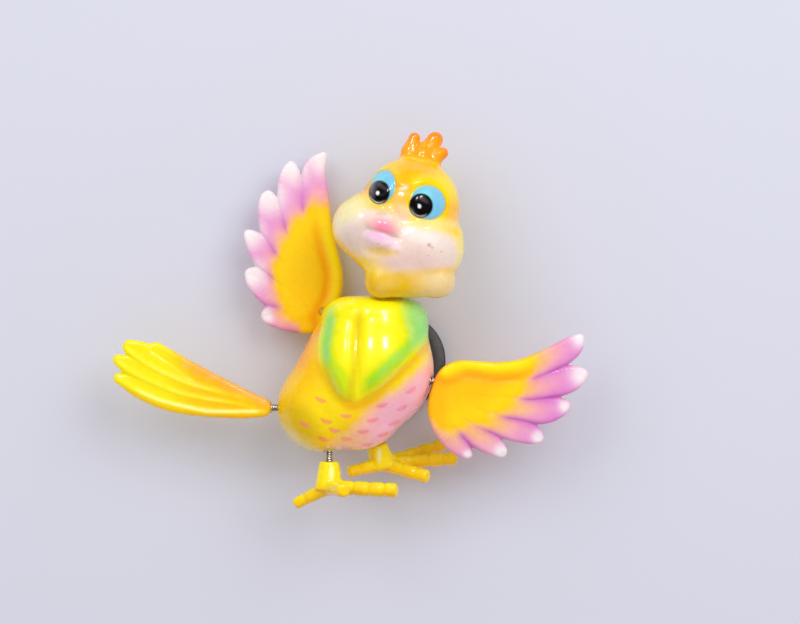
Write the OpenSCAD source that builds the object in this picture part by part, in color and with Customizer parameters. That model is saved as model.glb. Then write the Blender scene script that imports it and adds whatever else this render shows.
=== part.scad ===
// Cartoon bird fridge magnet. The head, the wings, the tail and the feet are small resin castings,
// each carried on the end of a short close-coiled steel spring that is glued into the body.
// The origin is the centre of the magnet's back face, which sits on the steel surface.
// +Z is up, and -Y points out from that surface. Left and right are those of a person facing the bird.

/* [Magnet] */
// Diameter of the disc magnet
magnet_d = 20; // [18:0.5:21]
// Thickness of the disc magnet
magnet_t = 3; // [2:0.5:4]
// Thickness of the glue between the magnet and the body
pad_t = 0.3; // [0.2:0.1:0.5]

/* [Springs] */
// Outer diameter of each spring
spring_d = 1.6; // [1.5:0.1:1.7]
// Diameter of the spring wire
wire_d = 0.3; // [0.25:0.05:0.3]
// Length of spring that sits in the hole at each end
grip = 2; // [1.5:0.5:2.5]
// Gap from one turn of a spring to the next
turn_gap = 0.05; // [0.03:0.01:0.08]

/* [Castings] */
// Depth of the body's widest section in front of the origin
body_depth = 13; // [12:0.5:13]
// Thickness of a wing at its shoulder
wing_root_t = 4.4; // [4:0.1:4.6]
// Thickness of a wing at its feather tips
wing_tip_t = 1.5; // [1.2:0.1:1.8]
// Thickness of the tail at its root
tail_root_t = 4.2; // [4:0.1:4.6]
// Diameter of a toe at the foot
toe_d = 2.9; // [2.6:0.1:3]

/* [Hidden] */

$fn = 32;
back_y = -magnet_t - pad_t;     // the flat at the back of the body
front_y = -body_depth;          // the body's widest section
coil_r = (spring_d - wire_d) / 2;
pitch = wire_d + turn_gap;
hole_r = spring_d / 2 + 0.25;   // glue fills the gap round the spring
hole_depth = grip + 0.5;
glue_clear = 0.02;              // radial gap between the turns and the glue round them
ankle_r = 1.95;
sole_r = 2.8;

// Each spring: the middle of its bare stretch, its direction from body to limb, and its bare length
NECK = [[-1.4, front_y, 13.8], [0.12, 0, 1], 2];
LEFT_WING = [[-13.7, -5.4, 9.6], [-0.85, 0.45, 0.28], 1.8];
RIGHT_WING = [[7.4, -15.6, -3.8], [1, 0, 0], 1.5];
TAIL = [[-24.2, front_y, -9.2], [-1, 0, 0.02], 1.4];
LEFT_LEG = [[-13.4, -15.5, -18.8], [0, 0, -1], 2];
RIGHT_LEG = [[-4.2, -7.4, -15.8], [0.25, 0.18, -0.95], 1.8];
SPRINGS = [NECK, LEFT_WING, RIGHT_WING, TAIL, LEFT_LEG, RIGHT_LEG];

yellow = [1, 0.84, 0.1];
orange = [1, 0.62, 0.1];
steel = [0.75, 0.75, 0.78];
resin = [0.93, 0.9, 0.8];

// Puts the children at a point, with their +Z along a direction
module aim(at, direction) {
    translate(at)
        rotate([0, acos(direction.z / norm(direction)), atan2(direction.y, direction.x)]) children();
}

module ball(at, r) {
    translate(at) sphere(r);
}

// A round-ended bar from one point to another, thinner or thicker at its far end
module bar(from, to, r1, r2) {
    hull() {
        translate(from) sphere(r1, $fn = 16);
        translate(to) sphere(r2, $fn = 16);
    }
}

// A flat round plate that faces the front
module plate(at, r, t) {
    translate(at) rotate([90, 0, 0]) cylinder(h = t, r = r, center = true, $fn = 24);
}

// The blind hole in a limb (side 1) or in the body (side -1) for one end of a spring
module spring_hole(spring, side) {
    start = spring[0] + side * spring[2] / 2 * spring[1] / norm(spring[1]);
    aim(start, side * spring[1]) translate([0, 0, -3]) cylinder(h = hole_depth + 3, r = hole_r);
}

// The glue in that hole: a cup round the buried turns
module hole_glue(spring, side) {
    start = spring[0] + side * spring[2] / 2 * spring[1] / norm(spring[1]);
    aim(start, side * spring[1]) difference() {
        translate([0, 0, 0.6]) cylinder(h = hole_depth - 0.6, r = hole_r);
        cylinder(h = grip + 0.1, r = spring_d / 2 + glue_clear);
    }
}

// A close-coiled spring, its wire swept along a helix as rings of points
module coil(spring) {
    sides = 5;
    per_turn = 8;
    length = spring[2] + 2 * grip - wire_d;
    rings = floor(length / pitch * per_turn);
    points = [for (i = [0:rings], j = [0:sides - 1])
        let (a = 360 * i / per_turn, b = 360 * j / sides, r = coil_r + wire_d / 2 * cos(b))
            [r * cos(a), r * sin(a), pitch * i / per_turn + wire_d / 2 * sin(b) - length / 2]];
    walls = [for (i = [0:rings - 1], j = [0:sides - 1])
        let (a = i * sides + j, b = i * sides + (j + 1) % sides) each
            [[a, b, a + sides], [b, b + sides, a + sides]]];
    first = [for (j = [1:sides - 2]) [0, j + 1, j]];
    end = rings * sides;
    last = [for (j = [1:sides - 2]) [end, end + j, end + j + 1]];
    aim(spring[0], spring[1]) polyhedron(points, concat(walls, first, last), convexity = 10);
}

// ---- Body, magnet and the glue in the body ----

module body() {
    color(yellow) difference() {
        hull() {
            ball([-13.6, front_y, -8.3], 10);
            ball([-8.2, front_y, -7.4], 10.6);
            ball([-4.7, front_y, -1.5], 12);
            translate([-4.4, front_y, 8.3]) rotate_extrude() translate([6.3, 0]) circle(4.5);
        }
        translate([-40, back_y, -40]) cube([80, 20, 80]);
        for (spring = SPRINGS) spring_hole(spring, -1);
    }
}

module magnet() {
    edge = 0.4;
    color("dimgray") rotate([90, 0, 0]) rotate_extrude($fn = 96)
        polygon([[0, 0], [magnet_d / 2 - edge, 0], [magnet_d / 2, edge],
                 [magnet_d / 2, magnet_t - edge], [magnet_d / 2 - edge, magnet_t], [0, magnet_t]]);
}

module magnet_glue() {
    color(resin) translate([-3.8, -magnet_t, -1.5]) rotate([90, 0, 0]) cylinder(h = pad_t, r = 5.2);
}

module body_spring_glue() {
    color(resin) for (spring = SPRINGS) hole_glue(spring, -1);
}

// ---- Head ----

module head() {
    face_y = -17.5;
    jaw_y = -22.4;
    color(yellow) difference() {
        union() {
            ball([2.8, -15, 31], 10);
            hull() {
                // cheeks and chin
                ball([-5.8, face_y, 27.1], 6.8);
                ball([5.6, face_y + 0.3, 22.8], 7.9);
                ball([1, face_y - 2, 20.5], 6.6);
                // front corners of the neck, which hang down in front of the body
                ball([-2.9, jaw_y, 16.1], 3.3);
                ball([8.2, jaw_y + 0.4, 16.2], 3.3);
                // root of the neck, round its spring
                ball([-0.6, -14.6, 19.6], 5);
            }
            beak();
            comb();
        }
        spring_hole(NECK, 1);
    }
}

// Small pouting beak: an upper dome and a lip below it
module beak() {
    hull() {
        ball([-5.3, -24.2, 26.8], 1.6);
        ball([-3.2, -25.8, 26.6], 1.8);
        ball([-0.4, -24.6, 24.7], 1.5);
    }
    hull() {
        ball([-4.6, -24.6, 24.9], 1.4);
        ball([-1.6, -24.8, 23.9], 1.3);
    }
}

// Crest of four round lobes, fanned out from the crown
module comb() {
    foot = [4.8, -15, 38.6];
    lobes = [[3.2, -15, 44.3, 1.5], [7.2, -15, 44.5, 1.7], [9, -15, 41.2, 1.3], [5.2, -16.4, 43, 1.4]];
    for (lobe = lobes) bar(foot, [lobe[0], lobe[1], lobe[2]], 2.4, lobe[3]);
}

module head_glue() {
    color(resin) hole_glue(NECK, 1);
}

// ---- Wings ----

// A wing is a fan of feathers that all start at the shoulder and a second place along the leading edge.
// Each feather is [middle point, middle radius, tip point, tip radius].
module wing(shoulder, shoulder_r, lead, lead_r, feathers) {
    middle_t = (wing_root_t + wing_tip_t) / 2;
    for (feather = feathers) hull() {
        plate(shoulder, shoulder_r, wing_root_t);
        plate(lead, lead_r, wing_root_t * 0.85);
        plate(feather[0], feather[1], middle_t * 0.8);
        plate(feather[2], feather[3], wing_tip_t);
    }
}

// The raised wing: its shoulder sits behind the body's widest section, and its tips come forward
module left_wing() {
    function out(x, z) = [x, -3.2 + 0.17 * (x + 13), z];
    color(orange) difference() {
        wing(out(-18.7, 10.7), 5, out(-16.3, 15.5), 4.2, [
            [out(-16.3, 33.6), 2, out(-14.6, 41), 0.8],
            [out(-19.8, 32), 2.3, out(-21, 39.2), 0.9],
            [out(-23.2, 27), 2.5, out(-25, 33.2), 1],
            [out(-25.3, 20.4), 2.2, out(-29.4, 25.9), 0.8],
            [out(-25.3, 12.6), 2.2, out(-28.9, 15), 1],
            [out(-23.5, 9.5), 2.5, out(-25.8, 9.2), 1.4]]);
        spring_hole(LEFT_WING, 1);
    }
}

// The lowered wing: its shoulder is level with the body's side
module right_wing() {
    function out(x, z) = [x, -15.6 + 0.07 * (x - 12), z];
    color(orange) difference() {
        wing(out(13.2, -5.6), 5.9, out(17, -3.4), 3.9, [
            [out(31, 0.6), 1.8, out(36.6, 5), 0.9],
            [out(32, -3.6), 2.3, out(37.5, -2.6), 1.1],
            [out(28.5, -7.8), 2.3, out(33.8, -9), 1],
            [out(23.5, -11.8), 2.4, out(28.6, -15.3), 1],
            [out(17.8, -14.2), 2.2, out(20.9, -17.8), 1],
            [out(12.6, -14), 2.4, out(13.9, -18.2), 1]]);
        spring_hole(RIGHT_WING, 1);
    }
}

module left_wing_glue() {
    color(resin) hole_glue(LEFT_WING, 1);
}

module right_wing_glue() {
    color(resin) hole_glue(RIGHT_WING, 1);
}

// ---- Tail ----

// Long feathers side by side, each from the root past a middle point to its round tip
module tail() {
    y = front_y;
    feathers = [[[-37, y, -6.2], 2.2, [-48.6, y, 2.4], 1.5],
                [[-39, y, -6.2], 2.4, [-52.6, y, 3], 1.6],
                [[-41, y, -6.5], 2.6, [-55.2, y, -0.2], 1.8],
                [[-42, y, -7.4], 2.8, [-55, y, -4], 1.7]];
    color(yellow) difference() {
        for (feather = feathers) hull() {
            plate([-27.2, y, -9.1], 2.1, tail_root_t);
            plate([-32, y, -8.3], 2.6, tail_root_t);
            plate(feather[0], feather[1], tail_root_t * 0.75);
            plate(feather[2], feather[3], tail_root_t * 0.5);
        }
        spring_hole(TAIL, 1);
    }
}

module tail_glue() {
    color(resin) hole_glue(TAIL, 1);
}

// ---- Feet ----

// A foot: a round ankle that widens down to the sole, and four toes
module foot(ankle, sole, toes) {
    aim(ankle, sole - ankle) cylinder(h = norm(sole - ankle), r1 = ankle_r, r2 = sole_r);
    for (toe = toes) bar(sole, toe, toe_d / 2, toe_d / 2 - 0.2);
}

module left_foot() {
    color(yellow) difference() {
        foot([-13.4, -15.5, -19.8], [-13.5, -15.5, -25], [
            [-10.2, -24.6, -25.2],
            [-0.7, -19.6, -25.7],
            [-3.2, -14, -25.4],
            [-19.6, -13.4, -28.1]]);
        spring_hole(LEFT_LEG, 1);
    }
}

module right_foot() {
    color(orange) difference() {
        foot([-4, -7.2, -16.8], [-2.8, -6.4, -20.8], [
            [9.3, -1.9, -17.2],
            [10.8, -6.4, -19.8],
            [5.8, -11.2, -23.1],
            [-9.4, -9.4, -22.2]]);
        spring_hole(RIGHT_LEG, 1);
    }
}

module left_foot_glue() {
    color(resin) hole_glue(LEFT_LEG, 1);
}

module right_foot_glue() {
    color(resin) hole_glue(RIGHT_LEG, 1);
}

// ---- Springs ----

module neck_spring() {
    color(steel) coil(NECK);
}

module left_wing_spring() {
    color(steel) coil(LEFT_WING);
}

module right_wing_spring() {
    color(steel) coil(RIGHT_WING);
}

module tail_spring() {
    color(steel) coil(TAIL);
}

module left_leg_spring() {
    color(steel) coil(LEFT_LEG);
}

module right_leg_spring() {
    color(steel) coil(RIGHT_LEG);
}

body();
magnet();
magnet_glue();
body_spring_glue();
neck_spring();
head();
head_glue();
left_wing_spring();
left_wing();
left_wing_glue();
right_wing_spring();
right_wing();
right_wing_glue();
tail_spring();
tail();
tail_glue();
left_leg_spring();
left_foot();
left_foot_glue();
right_leg_spring();
right_foot();
right_foot_glue();
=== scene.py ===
"""Looks for a cartoon bird fridge magnet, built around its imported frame.

The castings are sculpted as distance fields and painted with airbrush layers. Lengths in the sculpting
code are millimetres in the frame's own axes: +Z is up, and the bird faces -Y.
"""

import math
from itertools import pairwise, product

import bpy
import numpy as np
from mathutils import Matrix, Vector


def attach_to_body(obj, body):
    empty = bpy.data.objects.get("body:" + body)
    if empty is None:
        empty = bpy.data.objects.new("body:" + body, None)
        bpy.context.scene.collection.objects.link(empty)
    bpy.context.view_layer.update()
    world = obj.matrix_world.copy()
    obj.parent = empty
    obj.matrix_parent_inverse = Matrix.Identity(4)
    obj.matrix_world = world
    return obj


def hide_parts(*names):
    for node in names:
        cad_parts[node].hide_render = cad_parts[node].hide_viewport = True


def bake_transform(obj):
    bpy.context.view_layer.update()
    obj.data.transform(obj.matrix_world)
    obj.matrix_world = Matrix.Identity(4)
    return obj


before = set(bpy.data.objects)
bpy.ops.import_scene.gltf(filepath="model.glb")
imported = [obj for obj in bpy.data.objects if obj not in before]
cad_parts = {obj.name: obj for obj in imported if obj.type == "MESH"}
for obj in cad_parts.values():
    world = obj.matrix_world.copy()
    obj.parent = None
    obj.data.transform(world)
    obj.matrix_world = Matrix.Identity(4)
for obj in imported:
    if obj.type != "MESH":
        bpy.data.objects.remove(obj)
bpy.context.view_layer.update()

MM = 0.001
FINE = 0.22          # grid cell of the small castings
COARSE = 0.26        # grid cell of the head and the body
BACK_Y = -3.3        # the flat at the back of the body, where the magnet is glued
FLOOR_Y = 0.8        # the surface that it lies on
MAGNET_T = 3.0
MAGNET_R = 10.0
MAGNET_EDGE = 0.35   # radius of its worn edges
COIL_R = 0.65        # middle of the spring wire
WIRE_R = 0.15
PITCH = 0.35
GRIP = 2.0           # length of spring in the hole at each end
HOLE_R = 1.05
HOLE_DEPTH = 2.5
BODY_SIDE, LIMB_SIDE = -1, 1

# Each spring: the middle of its bare stretch, its direction from body to limb, and its bare length
SPRINGS = {
    "neck": ((-1.4, -13, 13.8), (0.12, 0, 1), 2),
    "left_wing": ((-13.7, -5.4, 9.6), (-0.85, 0.45, 0.28), 1.8),
    "right_wing": ((7.4, -15.6, -3.8), (1, 0, 0), 1.5),
    "tail": ((-24.2, -13, -9.2), (-1, 0, 0.02), 1.4),
    "left_leg": ((-13.4, -15.5, -18.8), (0, 0, -1), 2),
    "right_leg": ((-4.2, -7.4, -15.8), (0.25, 0.18, -0.95), 1.8),
}


# ---- Distance fields. A point set p is (x, y, z), three arrays of one shape or a sparse grid. ----

def turned(x, z, degrees):
    """A place on the front, turned anticlockwise about the origin."""
    c, s = math.cos(math.radians(degrees)), math.sin(math.radians(degrees))
    return c * x - s * z, c * z + s * x


def ellipsoid(p, centre, radii, tilt=0.0):
    """Near distance to an ellipsoid, tilted clockwise as seen from the front."""
    x, y, z = p[0] - centre[0], p[1] - centre[1], p[2] - centre[2]
    if tilt:
        x, z = turned(x, z, tilt)
    a, b, c = radii
    level = np.sqrt((x / a) ** 2 + (y / b) ** 2 + (z / c) ** 2)
    slope = np.sqrt((x / a**2) ** 2 + (y / b**2) ** 2 + (z / c**2) ** 2)
    return level * (level - 1) / np.maximum(slope, 1e-6)


def ball(p, centre, radius):
    return np.sqrt(sum((p[i] - centre[i]) ** 2 for i in range(3))) - radius


def bar(p, start, end, r1, r2):
    """Round-ended bar whose radius changes evenly from start to end."""
    start, end = np.array(start, float), np.array(end, float)
    axis = end - start
    along = sum((p[i] - start[i]) * axis[i] for i in range(3)) / (axis @ axis)
    along = np.clip(along, 0, 1)
    gap = sum((p[i] - start[i] - along * axis[i]) ** 2 for i in range(3))
    return np.sqrt(gap) - (r1 + (r2 - r1) * along)


def chain(p, points, radii, soft=0.3):
    """Bars joined end to end."""
    d = None
    for i in range(len(points) - 1):
        d = join(d, bar(p, points[i], points[i + 1], radii[i], radii[i + 1]), soft)
    return d


def join(a, b, soft):
    """Union with a fillet about soft wide."""
    if a is None:
        return b
    h = np.clip(0.5 + 0.5 * (b - a) / soft, 0, 1)
    return b + (a - b) * h - soft * h * (1 - h)


def cut(a, b, soft):
    """a less b, with a rounded edge about soft wide."""
    return -join(-a, b, soft)


def step(low, high, value):
    """Smooth rise from 0 at low to 1 at high."""
    t = np.clip((value - low) / (high - low), 0, 1)
    return t * t * (3 - 2 * t)


def hump(value, width, middle=0.0):
    """Bell curve: 1 where value is at the middle, and near 0 two widths away."""
    return np.exp(-(((value - middle) / width) ** 2))


def oval(p, centre, radii, tilt=0.0):
    """Distance on the front from an ellipse's middle, in radii: 1 on its edge."""
    u, v = turned(p[0] - centre[0], p[2] - centre[1], tilt)
    return np.sqrt((u / radii[0]) ** 2 + (v / radii[1]) ** 2)


def blot(p, centre, radii, tilt=0.0, soft=0.35):
    """Soft-edged ellipse on the front: 1 inside, 0 outside. soft is the edge's width in radii."""
    return 1 - step(1 - soft, 1 + soft, oval(p, centre, radii, tilt))


def off_line(p, a, b):
    """Distance on the front from the straight line between two points, and the place along it from 0 to 1."""
    x, z, u, v = p[0] - a[0], p[2] - a[1], b[0] - a[0], b[1] - a[1]
    t = np.clip((x * u + z * v) / (u * u + v * v), 0, 1)
    return np.hypot(x - t * u, z - t * v), t


def line_distance(p, points):
    """Distance on the front from a run of straight lines, and the place along it from 0 to 1."""
    total = sum(math.dist(a, b) for a, b in pairwise(points))
    best, where, done = np.inf, 0.0, 0.0
    for a, b in pairwise(points):
        d, t = off_line(p, a, b)
        where = np.where(d < best, (done + t * math.dist(a, b)) / total, where)
        best = np.minimum(d, best)
        done += math.dist(a, b)
    return best, where


def curve(points, steps=6):
    """Catmull-Rom curve through the points, as a list of points."""
    pts = [np.array(q, float) for q in points]
    pts = [2 * pts[0] - pts[1], *pts, 2 * pts[-1] - pts[-2]]
    out = []
    for a, b, c, d in zip(pts, pts[1:], pts[2:], pts[3:]):
        for i in range(steps):
            t = i / steps
            out.append(0.5 * (2 * b + (c - a) * t + (2 * a - 5 * b + 4 * c - d) * t**2
                              + (3 * b - a - 3 * c + d) * t**3))
    out.append(pts[-2])
    return [tuple(float(v) for v in q) for q in out]


def ripple(p, scale, seed):
    """Smooth uneven field between about -1 and 1, made of a few waves, with bumps about scale wide."""
    waves = 9
    rng = np.random.default_rng(seed)
    total = 0.0
    for _ in range(waves):
        way = rng.normal(size=3)
        way *= 2 * math.pi / (scale * rng.uniform(0.7, 1.6)) / np.linalg.norm(way)
        total = total + np.sin(sum(way[i] * p[i] for i in range(3)) + rng.uniform(0, 2 * math.pi))
    return total / (waves / 2)


# ---- Mesh making ----

def net(shape, low, high, cell):
    """Quads round the region where shape is negative, with one vertex in each grid cell that it crosses."""
    counts = [int(math.ceil((high[i] - low[i]) / cell)) + 1 for i in range(3)]
    axes = [low[i] + cell * np.arange(counts[i]) for i in range(3)]
    grid = np.meshgrid(*axes, indexing="ij", sparse=True)
    field = np.broadcast_to(shape(grid), counts)
    inside = field < 0
    total = np.zeros([n - 1 for n in counts], np.int8)
    for corner in product((0, 1), repeat=3):
        total += inside[tuple(slice(o, n - 1 + o) for o, n in zip(corner, counts))]
    cells = np.argwhere((total > 0) & (total < 8))
    number = np.full(total.shape, -1)
    number[tuple(cells.T)] = np.arange(len(cells))
    place = np.zeros((len(cells), 3))
    hits = np.zeros(len(cells))
    quads = []
    for axis in range(3):
        along = np.eye(3, dtype=int)[axis]
        u, v = np.eye(3, dtype=int)[(axis + 1) % 3], np.eye(3, dtype=int)[(axis + 2) % 3]
        for i, j in product((0, 1), repeat=2):
            start = i * u + j * v
            a = field[tuple((cells + start).T)]
            b = field[tuple((cells + start + along).T)]
            crossing = (a < 0) != (b < 0)
            t = np.where(crossing, a / np.where(crossing, a - b, 1), 0)
            place += crossing[:, None] * start + t[:, None] * along
            hits += crossing
        near = tuple(slice(0, -1) if k == axis else slice(1, -1) for k in range(3))
        far = tuple(slice(1, None) if k == axis else slice(1, -1) for k in range(3))
        for rising in (False, True):
            change = (inside[near] != inside[far]) & (inside[far] == rising)
            node = np.argwhere(change) + u + v
            ring = [number[tuple((node - k).T)] for k in (u + v, v, 0 * u, u)]
            quads.append(np.stack(ring[::-1] if rising else ring, axis=1))
    points = np.array(low) + cell * (cells + place / hits[:, None])
    return points, np.concatenate(quads)


def slope_of(shape, points, reach=0.03):
    """Gradient of the field at each point."""
    out = np.empty_like(points)
    for axis in range(3):
        offset = reach * np.eye(3)[axis]
        out[:, axis] = (shape((points + offset).T) - shape((points - offset).T)) / (2 * reach)
    return out


def settle(shape, points, quads):
    """Evens out the vertices along the surface and puts them exactly on it."""
    rounds, ease, longest_move = 3, 0.6, 0.2
    ends = np.concatenate([quads[:, [i, (i + 1) % 4]] for i in range(4)])
    count = np.bincount(ends[:, 0], minlength=len(points)) + np.bincount(ends[:, 1], minlength=len(points))
    for _ in range(rounds):
        mean = np.zeros_like(points)
        for axis in range(3):
            mean[:, axis] = (np.bincount(ends[:, 0], points[ends[:, 1], axis], len(points))
                             + np.bincount(ends[:, 1], points[ends[:, 0], axis], len(points))) / count
        points = points + ease * (mean - points)
        for _ in range(2):
            slope = slope_of(shape, points)
            move = shape(points.T) / np.maximum((slope**2).sum(1), 0.05)
            points = points - np.clip(move, -longest_move, longest_move)[:, None] * slope
    return points


def new_object(name, points, faces):
    """Smooth-shaded mesh object. The points are in millimetres, and the object's in metres."""
    mesh = bpy.data.meshes.new(name)
    mesh.from_pydata((np.asarray(points) * MM).tolist(), [], [tuple(int(i) for i in f) for f in faces])
    mesh.validate()
    mesh.shade_smooth()
    piece = bpy.data.objects.new(name, mesh)
    bpy.context.scene.collection.objects.link(piece)
    return piece


def attach(piece, material, body, node):
    """Gives a piece its material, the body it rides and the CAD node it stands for."""
    piece.data.materials.append(material)
    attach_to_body(piece, body)
    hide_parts(node)


def linear(colour):
    """Linear RGB of a display colour written as 0 to 255."""
    c = np.array(colour, float) / 255
    return np.where(c <= 0.04045, c / 12.92, ((c + 0.055) / 1.055) ** 2.4)


class Paint:
    """Layers of paint on a set of vertices, each laid over the last with a mask."""

    def __init__(self, count, base):
        self.colour = np.tile(linear(base), (count, 1))

    def spray(self, colour, mask):
        mask = np.clip(mask, 0, 1)[:, None]
        self.colour = self.colour * (1 - mask) + linear(colour) * mask

    def give(self, piece):
        layer = piece.data.color_attributes.new("paint", "FLOAT_COLOR", "POINT")
        rgba = np.concatenate([self.colour, np.ones((len(self.colour), 1))], axis=1)
        layer.data.foreach_set("color", rgba.astype(np.float32).ravel())


def dabs(paint, p, rows, where=1):
    """Sprays soft ellipses on the front. A row is (colour, strength, middle, radii, tilt, softness)."""
    for colour, strength, centre, radii, tilt, soft in rows:
        paint.spray(colour, strength * blot(p, centre, radii, tilt, soft) * where)


def casting(name, shape, painter, box, cell, material, slot, *limb):
    """Sculpts and paints one resin casting. It rides the body, and stands for the CAD node, of its name.

    box holds the casting with a little room. limb, where given, is passed on to the shape and the painter.
    """
    def field(p):
        return shape(p, *limb)

    points, quads = net(field, *box, cell)
    points = settle(field, points, quads)
    piece = new_object(name + "_casting", points, quads)
    normal = slope_of(field, points)
    normal /= np.linalg.norm(normal, axis=1)[:, None]
    painter(points.T, normal.T, *limb).give(piece)
    attach(piece, material, name, name)


# ---- Materials ----

def nodes_of(name):
    material = bpy.data.materials.new(name)
    material.use_nodes = True
    tree = material.node_tree
    return material, tree, tree.nodes["Principled BSDF"]


def put(node, values):
    """Sets a node's sockets by name."""
    for name, value in values.items():
        node.inputs[name].default_value = value


def noise(tree, size, detail=3, rough=0.5):
    """Noise with features about size millimetres across, fixed to the object."""
    place = tree.nodes.new("ShaderNodeTexCoord")
    node = tree.nodes.new("ShaderNodeTexNoise")
    put(node, {"Scale": 1 / (size * MM), "Detail": detail, "Roughness": rough})
    tree.links.new(place.outputs["Object"], node.inputs["Vector"])
    return node.outputs["Fac"]


def vary(tree, node, socket, low, high, *texture):
    """Drives a socket between two values with noise, nearly all of which lies from 0.3 to 0.7."""
    value = noise(tree, *texture)
    spread = tree.nodes.new("ShaderNodeMapRange")
    for i, v in enumerate((0.3, 0.7, low, high)):
        spread.inputs[i + 1].default_value = v
    tree.links.new(value, spread.inputs[0])
    tree.links.new(spread.outputs[0], node.inputs[socket])


def two_tone(tree, shader, first, second, *texture):
    """Mottles the base colour between two linear colours."""
    mix = tree.nodes.new("ShaderNodeMix")
    mix.data_type = "RGBA"
    put(mix, {"A": (*first, 1), "B": (*second, 1)})
    tree.links.new(noise(tree, *texture), mix.inputs["Factor"])
    tree.links.new(mix.outputs["Result"], shader.inputs["Base Color"])


def bump(tree, shader, distance, strength, *texture):
    """Noise in the surface's height, distance millimetres deep."""
    node = tree.nodes.new("ShaderNodeBump")
    put(node, {"Strength": strength, "Distance": distance * MM})
    tree.links.new(noise(tree, *texture), node.inputs["Height"])
    tree.links.new(node.outputs["Normal"], shader.inputs["Normal"])


def soft_inside(shader, weight, radius, scale):
    """Light that spreads under the surface, about scale millimetres deep."""
    put(shader, {"Subsurface Weight": weight, "Subsurface Radius": radius, "Subsurface Scale": scale * MM})


def painted_resin(name, roughness, coat, peel, shine):
    """Sprayed enamel on cast resin: fine speckle in the colour, a clear coat and a slight orange peel."""
    material, tree, shader = nodes_of(name)
    paint = tree.nodes.new("ShaderNodeAttribute")
    paint.attribute_name = "paint"
    tint = tree.nodes.new("ShaderNodeHueSaturation")
    tree.links.new(paint.outputs["Color"], tint.inputs["Color"])
    vary(tree, tint, "Value", 0.965, 1.03, 1.1, 4, 0.6)
    vary(tree, tint, "Saturation", 1.02, 1.12, 2.6, 2)
    tree.links.new(tint.outputs["Color"], shader.inputs["Base Color"])
    vary(tree, shader, "Roughness", roughness - 0.05, roughness + 0.07, 1.6)
    put(shader, {"IOR": 1.5, "Coat Weight": coat, "Coat Roughness": 0.06, "Specular IOR Level": shine})
    soft_inside(shader, 0.05, (1, 0.6, 0.3), 0.8)
    bump(tree, shader, peel, 1, 0.9, 3)
    return material


def spring_steel():
    material, tree, shader = nodes_of("spring_steel")
    put(shader, {"Metallic": 1})
    two_tone(tree, shader, (0.62, 0.61, 0.6), (0.86, 0.86, 0.88), 0.5, 4)
    vary(tree, shader, "Roughness", 0.16, 0.32, 0.3)
    return material


def ferrite():
    """Bare black ferrite: a slight sheen with fine pits."""
    material, tree, shader = nodes_of("ferrite")
    two_tone(tree, shader, (0.012, 0.012, 0.014), (0.04, 0.04, 0.045), 0.8, 6, 0.7)
    vary(tree, shader, "Roughness", 0.22, 0.42, 1.5, 5)
    bump(tree, shader, 0.03, 0.7, 0.35, 5, 0.7)
    return material


def clear_glue(name, colour, roughness):
    material, tree, shader = nodes_of(name)
    two_tone(tree, shader, colour, [0.8 * c for c in colour], 0.7, 4)
    vary(tree, shader, "Roughness", roughness, roughness + 0.15, 0.5)
    soft_inside(shader, 0.4, (1, 0.8, 0.5), 0.5)
    bump(tree, shader, 0.05, 1, 0.6)
    return material


# ---- Springs and glue ----

def frame_along(direction):
    """Two directions square to a direction, and the direction itself, as unit vectors."""
    w = np.array(direction, float)
    w /= np.linalg.norm(w)
    u = np.cross(w, [0, 1, 0] if abs(w[1]) < 0.9 else [1, 0, 0])
    u /= np.linalg.norm(u)
    return u, np.cross(w, u), w


def mouth_of(limb, side):
    """The mouth of the spring's hole on one side, and the way into it."""
    middle, direction, bare = SPRINGS[limb]
    w = frame_along(direction)[2] * side
    return np.array(middle, float) + bare / 2 * w, w


def coil(middle, direction, first, last):
    """Points and faces of the wire between two heights measured from the spring's middle."""
    u, v, w = frame_along(direction)
    per_turn, sides = 28, 10
    count = int(round((last - first) / PITCH * per_turn)) + 1
    points = []
    for i in range(count):
        height = first + (last - first) * i / (count - 1)
        angle = 2 * math.pi * height / PITCH
        out = math.cos(angle) * u + math.sin(angle) * v
        # the wire's ends are ground down to a blunt tip
        taper = min(1, 0.35 + i / 5, 0.35 + (count - 1 - i) / 5)
        for j in range(sides):
            b = 2 * math.pi * j / sides
            points.append(np.array(middle) + height * w + COIL_R * out
                          + WIRE_R * taper * (math.cos(b) * out + math.sin(b) * w))
    faces = []
    for i, j in product(range(count - 1), range(sides)):
        here, beside = i * sides + j, i * sides + (j + 1) % sides
        faces.append((here, beside, beside + sides, here + sides))
    faces += [tuple(reversed(range(sides))), tuple((count - 1) * sides + j for j in range(sides))]
    return points, faces


def make_spring(limb, child, material):
    """A spring in two halves that meet at its middle."""
    link = limb + "_spring"
    middle, direction, bare = SPRINGS[limb]
    end = bare / 2 + GRIP - WIRE_R
    # a place on each side of the middle, just short of the hole's mouth
    reach = bare / 2 - 0.15
    made = []
    for side, tail, a, b in ((BODY_SIDE, "_body_half", "body", link), (LIMB_SIDE, "_limb_half", link, child)):
        piece = new_object(link + tail, *coil(middle, direction, *sorted((0.0, side * end))))
        piece.data.materials.append(material)
        far = (np.array(middle) + side * reach * frame_along(direction)[2]) * MM
        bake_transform(piece)
        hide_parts(link)
        made.append(piece)
    return made


def lathe(profile, middle, direction, segments=36, wobble=0.0):
    """Closed ring turned from (radius, height) points. wobble varies its radius round the ring."""
    u, v, w = frame_along(direction)
    points, quads = [], []
    n = len(profile)
    for i in range(segments):
        angle = 2 * math.pi * i / segments
        out = math.cos(angle) * u + math.sin(angle) * v
        wave = math.sin(3 * angle + 0.7) + 0.6 * math.sin(7 * angle + 2) + 0.4 * math.sin(11 * angle)
        for r, h in profile:
            points.append(np.array(middle) + r * (1 + wobble * wave) * out + h * w)
    for i, j in product(range(segments), range(n)):
        here, after, beside = i * n, (i + 1) % segments * n, (j + 1) % n
        quads.append((here + j, after + j, after + beside, here + beside))
    return points, quads


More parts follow.
